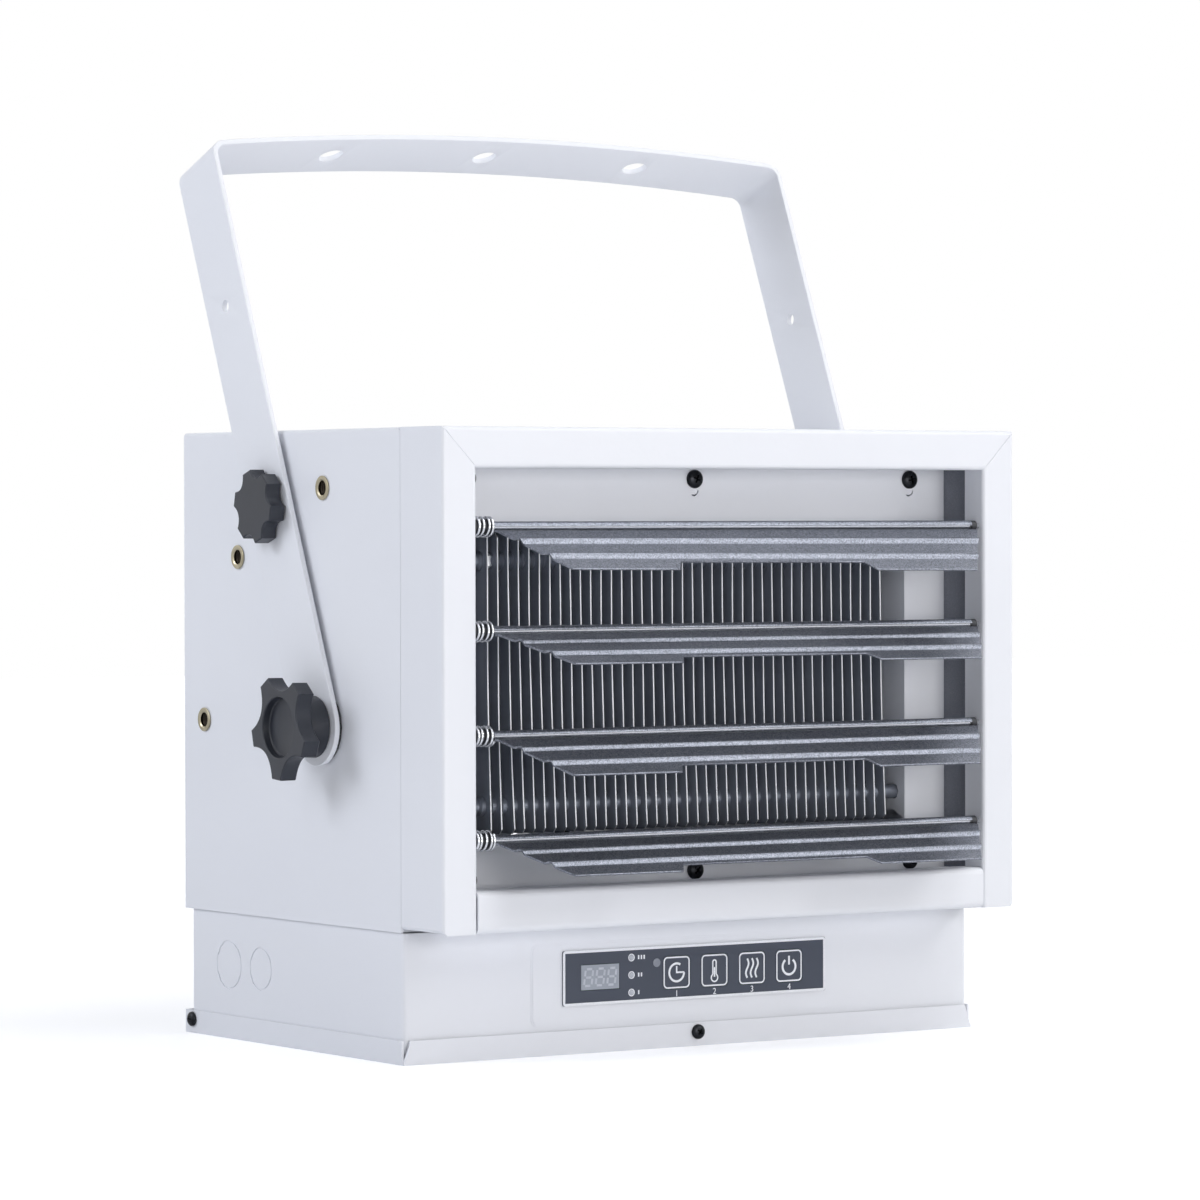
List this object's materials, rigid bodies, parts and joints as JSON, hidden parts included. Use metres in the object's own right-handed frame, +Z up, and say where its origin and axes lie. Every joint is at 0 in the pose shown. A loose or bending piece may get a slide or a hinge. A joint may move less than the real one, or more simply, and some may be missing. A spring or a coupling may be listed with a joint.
{
  "type": "ceiling mounted fan heater",
  "caption": "Boxy white electric fan heater with tilting louvres over a finned element, a control panel below and a swinging strap bracket with clamp knobs.",
  "frame": {"origin": "centre of the underside of the tray, on the surface the heater stands on", "axes": "+Z up, -Y towards the louvres, +X to the right seen from the front"},
  "size_m": [0.4262, 0.3034, 0.4977],
  "materials": {
    "white_powder_coat": "fine-texture satin powder coat",
    "graphite_paint": "dark grey metallic paint",
    "element_steel": "heat-darkened steel fins with bright cut edges",
    "spring_steel": "bright nickel-plated wire",
    "galvanised_steel": "galvanised sheet",
    "motor_casing": "grey motor can",
    "black_wire": "black dipped wire",
    "black_screw": "black oxide",
    "yellow_zinc": "yellow passivated zinc on steel",
    "black_plastic": "moulded, fine grain",
    "cream_plastic": "moulded",
    "panel_film": "printed polyester film",
    "display_window": "clear window over an unlit three-digit display",
    "circuit_board": "solder mask"
  },
  "bodies": {
    "cabinet": {"cabinet_shell": "white_powder_coat", "rear_panel": "white_powder_coat", "rear_guard": "black_wire", "divider_floor": "white_powder_coat", "bezel_surround": "white_powder_coat", "bezel_bottom_rail": "white_powder_coat", "front_baffle": "white_powder_coat", "heater_core": "element_steel", "louvre_spring_1": "spring_steel", "louvre_spring_2": "spring_steel", "louvre_spring_3": "spring_steel", "louvre_spring_4": "spring_steel", "fan_motor": "motor_casing", "motor_bracket": "galvanised_steel", "fan_shroud": "galvanised_steel", "thermal_cutout": "black_plastic", "control_box": "white_powder_coat", "bottom_tray": "white_powder_coat", "overlay_panel": "panel_film", "display_module": "display_window", "control_board": "circuit_board", "terminal_block": "cream_plastic", "power_relay": "black_plastic", "baffle_screw_top_1": "black_screw", "baffle_screw_top_2": "black_screw", "baffle_screw_top_3": "black_screw", "baffle_screw_bottom_1": "black_screw", "baffle_screw_bottom_2": "black_screw", "baffle_screw_bottom_3": "black_screw", "tray_screw_front": "black_screw", "tray_screw_left": "black_screw", "tray_screw_right": "black_screw", "insert_pivot_left": "yellow_zinc", "insert_index_0_left": "yellow_zinc", "insert_index_22_left": "yellow_zinc", "insert_index_45_left": "yellow_zinc", "insert_index_90_left": "yellow_zinc", "insert_pivot_right": "yellow_zinc", "insert_index_0_right": "yellow_zinc", "insert_index_22_right": "yellow_zinc", "insert_index_45_right": "yellow_zinc", "insert_index_90_right": "yellow_zinc", "pivot_spacer_left": "black_plastic", "pivot_spacer_right": "black_plastic"},
    "louvre_blade_1": {"louvre_1": "graphite_paint"},
    "louvre_blade_2": {"louvre_2": "graphite_paint"},
    "louvre_blade_3": {"louvre_3": "graphite_paint"},
    "louvre_blade_4": {"louvre_4": "graphite_paint"},
    "fan": {"fan_wheel": "black_plastic"},
    "timer_button": {"key_timer": "panel_film"},
    "temperature_button": {"key_temperature": "panel_film"},
    "mode_button": {"key_mode": "panel_film"},
    "power_button": {"key_power": "panel_film"},
    "bracket": {"mounting_bracket": "white_powder_coat"},
    "left_clamp": {"clamp_knob_left": "black_plastic"},
    "right_clamp": {"clamp_knob_right": "black_plastic"},
    "left_lock": {"lock_knob_left": "black_plastic"},
    "right_lock": {"lock_knob_right": "black_plastic"}
  },
  "joints": [
    {"name": "louvre_1_tilt", "type": "hinge", "parent": "cabinet", "child": "louvre_blade_1", "pos_m": [0.00515, -0.147, 0.2784], "axis": [1, 0, 0], "range_deg": [-32.4, 49.6]},
    {"name": "louvre_2_tilt", "type": "hinge", "parent": "cabinet", "child": "louvre_blade_2", "pos_m": [0.00515, -0.147, 0.2246], "axis": [1, 0, 0], "range_deg": [-23.3, 58.7]},
    {"name": "louvre_3_tilt", "type": "hinge", "parent": "cabinet", "child": "louvre_blade_3", "pos_m": [0.00515, -0.147, 0.1708], "axis": [1, 0, 0], "range_deg": [-27.8, 54.2]},
    {"name": "louvre_4_tilt", "type": "hinge", "parent": "cabinet", "child": "louvre_blade_4", "pos_m": [0.00515, -0.147, 0.117], "axis": [1, 0, 0], "range_deg": [-24.4, 35.6]},
    {"name": "fan_spin", "type": "hinge", "parent": "cabinet", "child": "fan", "pos_m": [0, 0.03, 0.198], "axis": [0, 1, 0], "continuous": true},
    {"name": "timer_press", "type": "slide", "parent": "cabinet", "child": "timer_button", "axis": [0, 1, 0], "range_m": [0, 0.0004], "stiffness_N_per_m": 800},
    {"name": "temperature_press", "type": "slide", "parent": "cabinet", "child": "temperature_button", "axis": [0, 1, 0], "range_m": [0, 0.0004], "stiffness_N_per_m": 800},
    {"name": "mode_press", "type": "slide", "parent": "cabinet", "child": "mode_button", "axis": [0, 1, 0], "range_m": [0, 0.0004], "stiffness_N_per_m": 800},
    {"name": "power_press", "type": "slide", "parent": "cabinet", "child": "power_button", "axis": [0, 1, 0], "range_m": [0, 0.0004], "stiffness_N_per_m": 800},
    {"name": "bracket_tilt", "type": "hinge", "parent": "cabinet", "child": "bracket", "pos_m": [0, -0.0345, 0.173], "axis": [1, 0, 0], "range_deg": [-67.5, 22.5]},
    {"name": "clamp_knob_left_spin", "type": "hinge", "parent": "cabinet", "child": "left_clamp", "pos_m": [-0.1906, -0.0345, 0.173], "axis": [1, 0, 0], "continuous": true},
    {"name": "clamp_knob_right_spin", "type": "hinge", "parent": "cabinet", "child": "right_clamp", "pos_m": [0.1906, -0.0345, 0.173], "axis": [1, 0, 0], "continuous": true},
    {"name": "lock_knob_left_spin", "type": "hinge", "parent": "bracket", "child": "left_lock", "pos_m": [-0.1906, 0.01372, 0.28941], "axis": [1, 0, 0], "continuous": true},
    {"name": "lock_knob_right_spin", "type": "hinge", "parent": "bracket", "child": "right_lock", "pos_m": [0.1906, 0.01372, 0.28941], "axis": [1, 0, 0], "continuous": true}
  ]
}
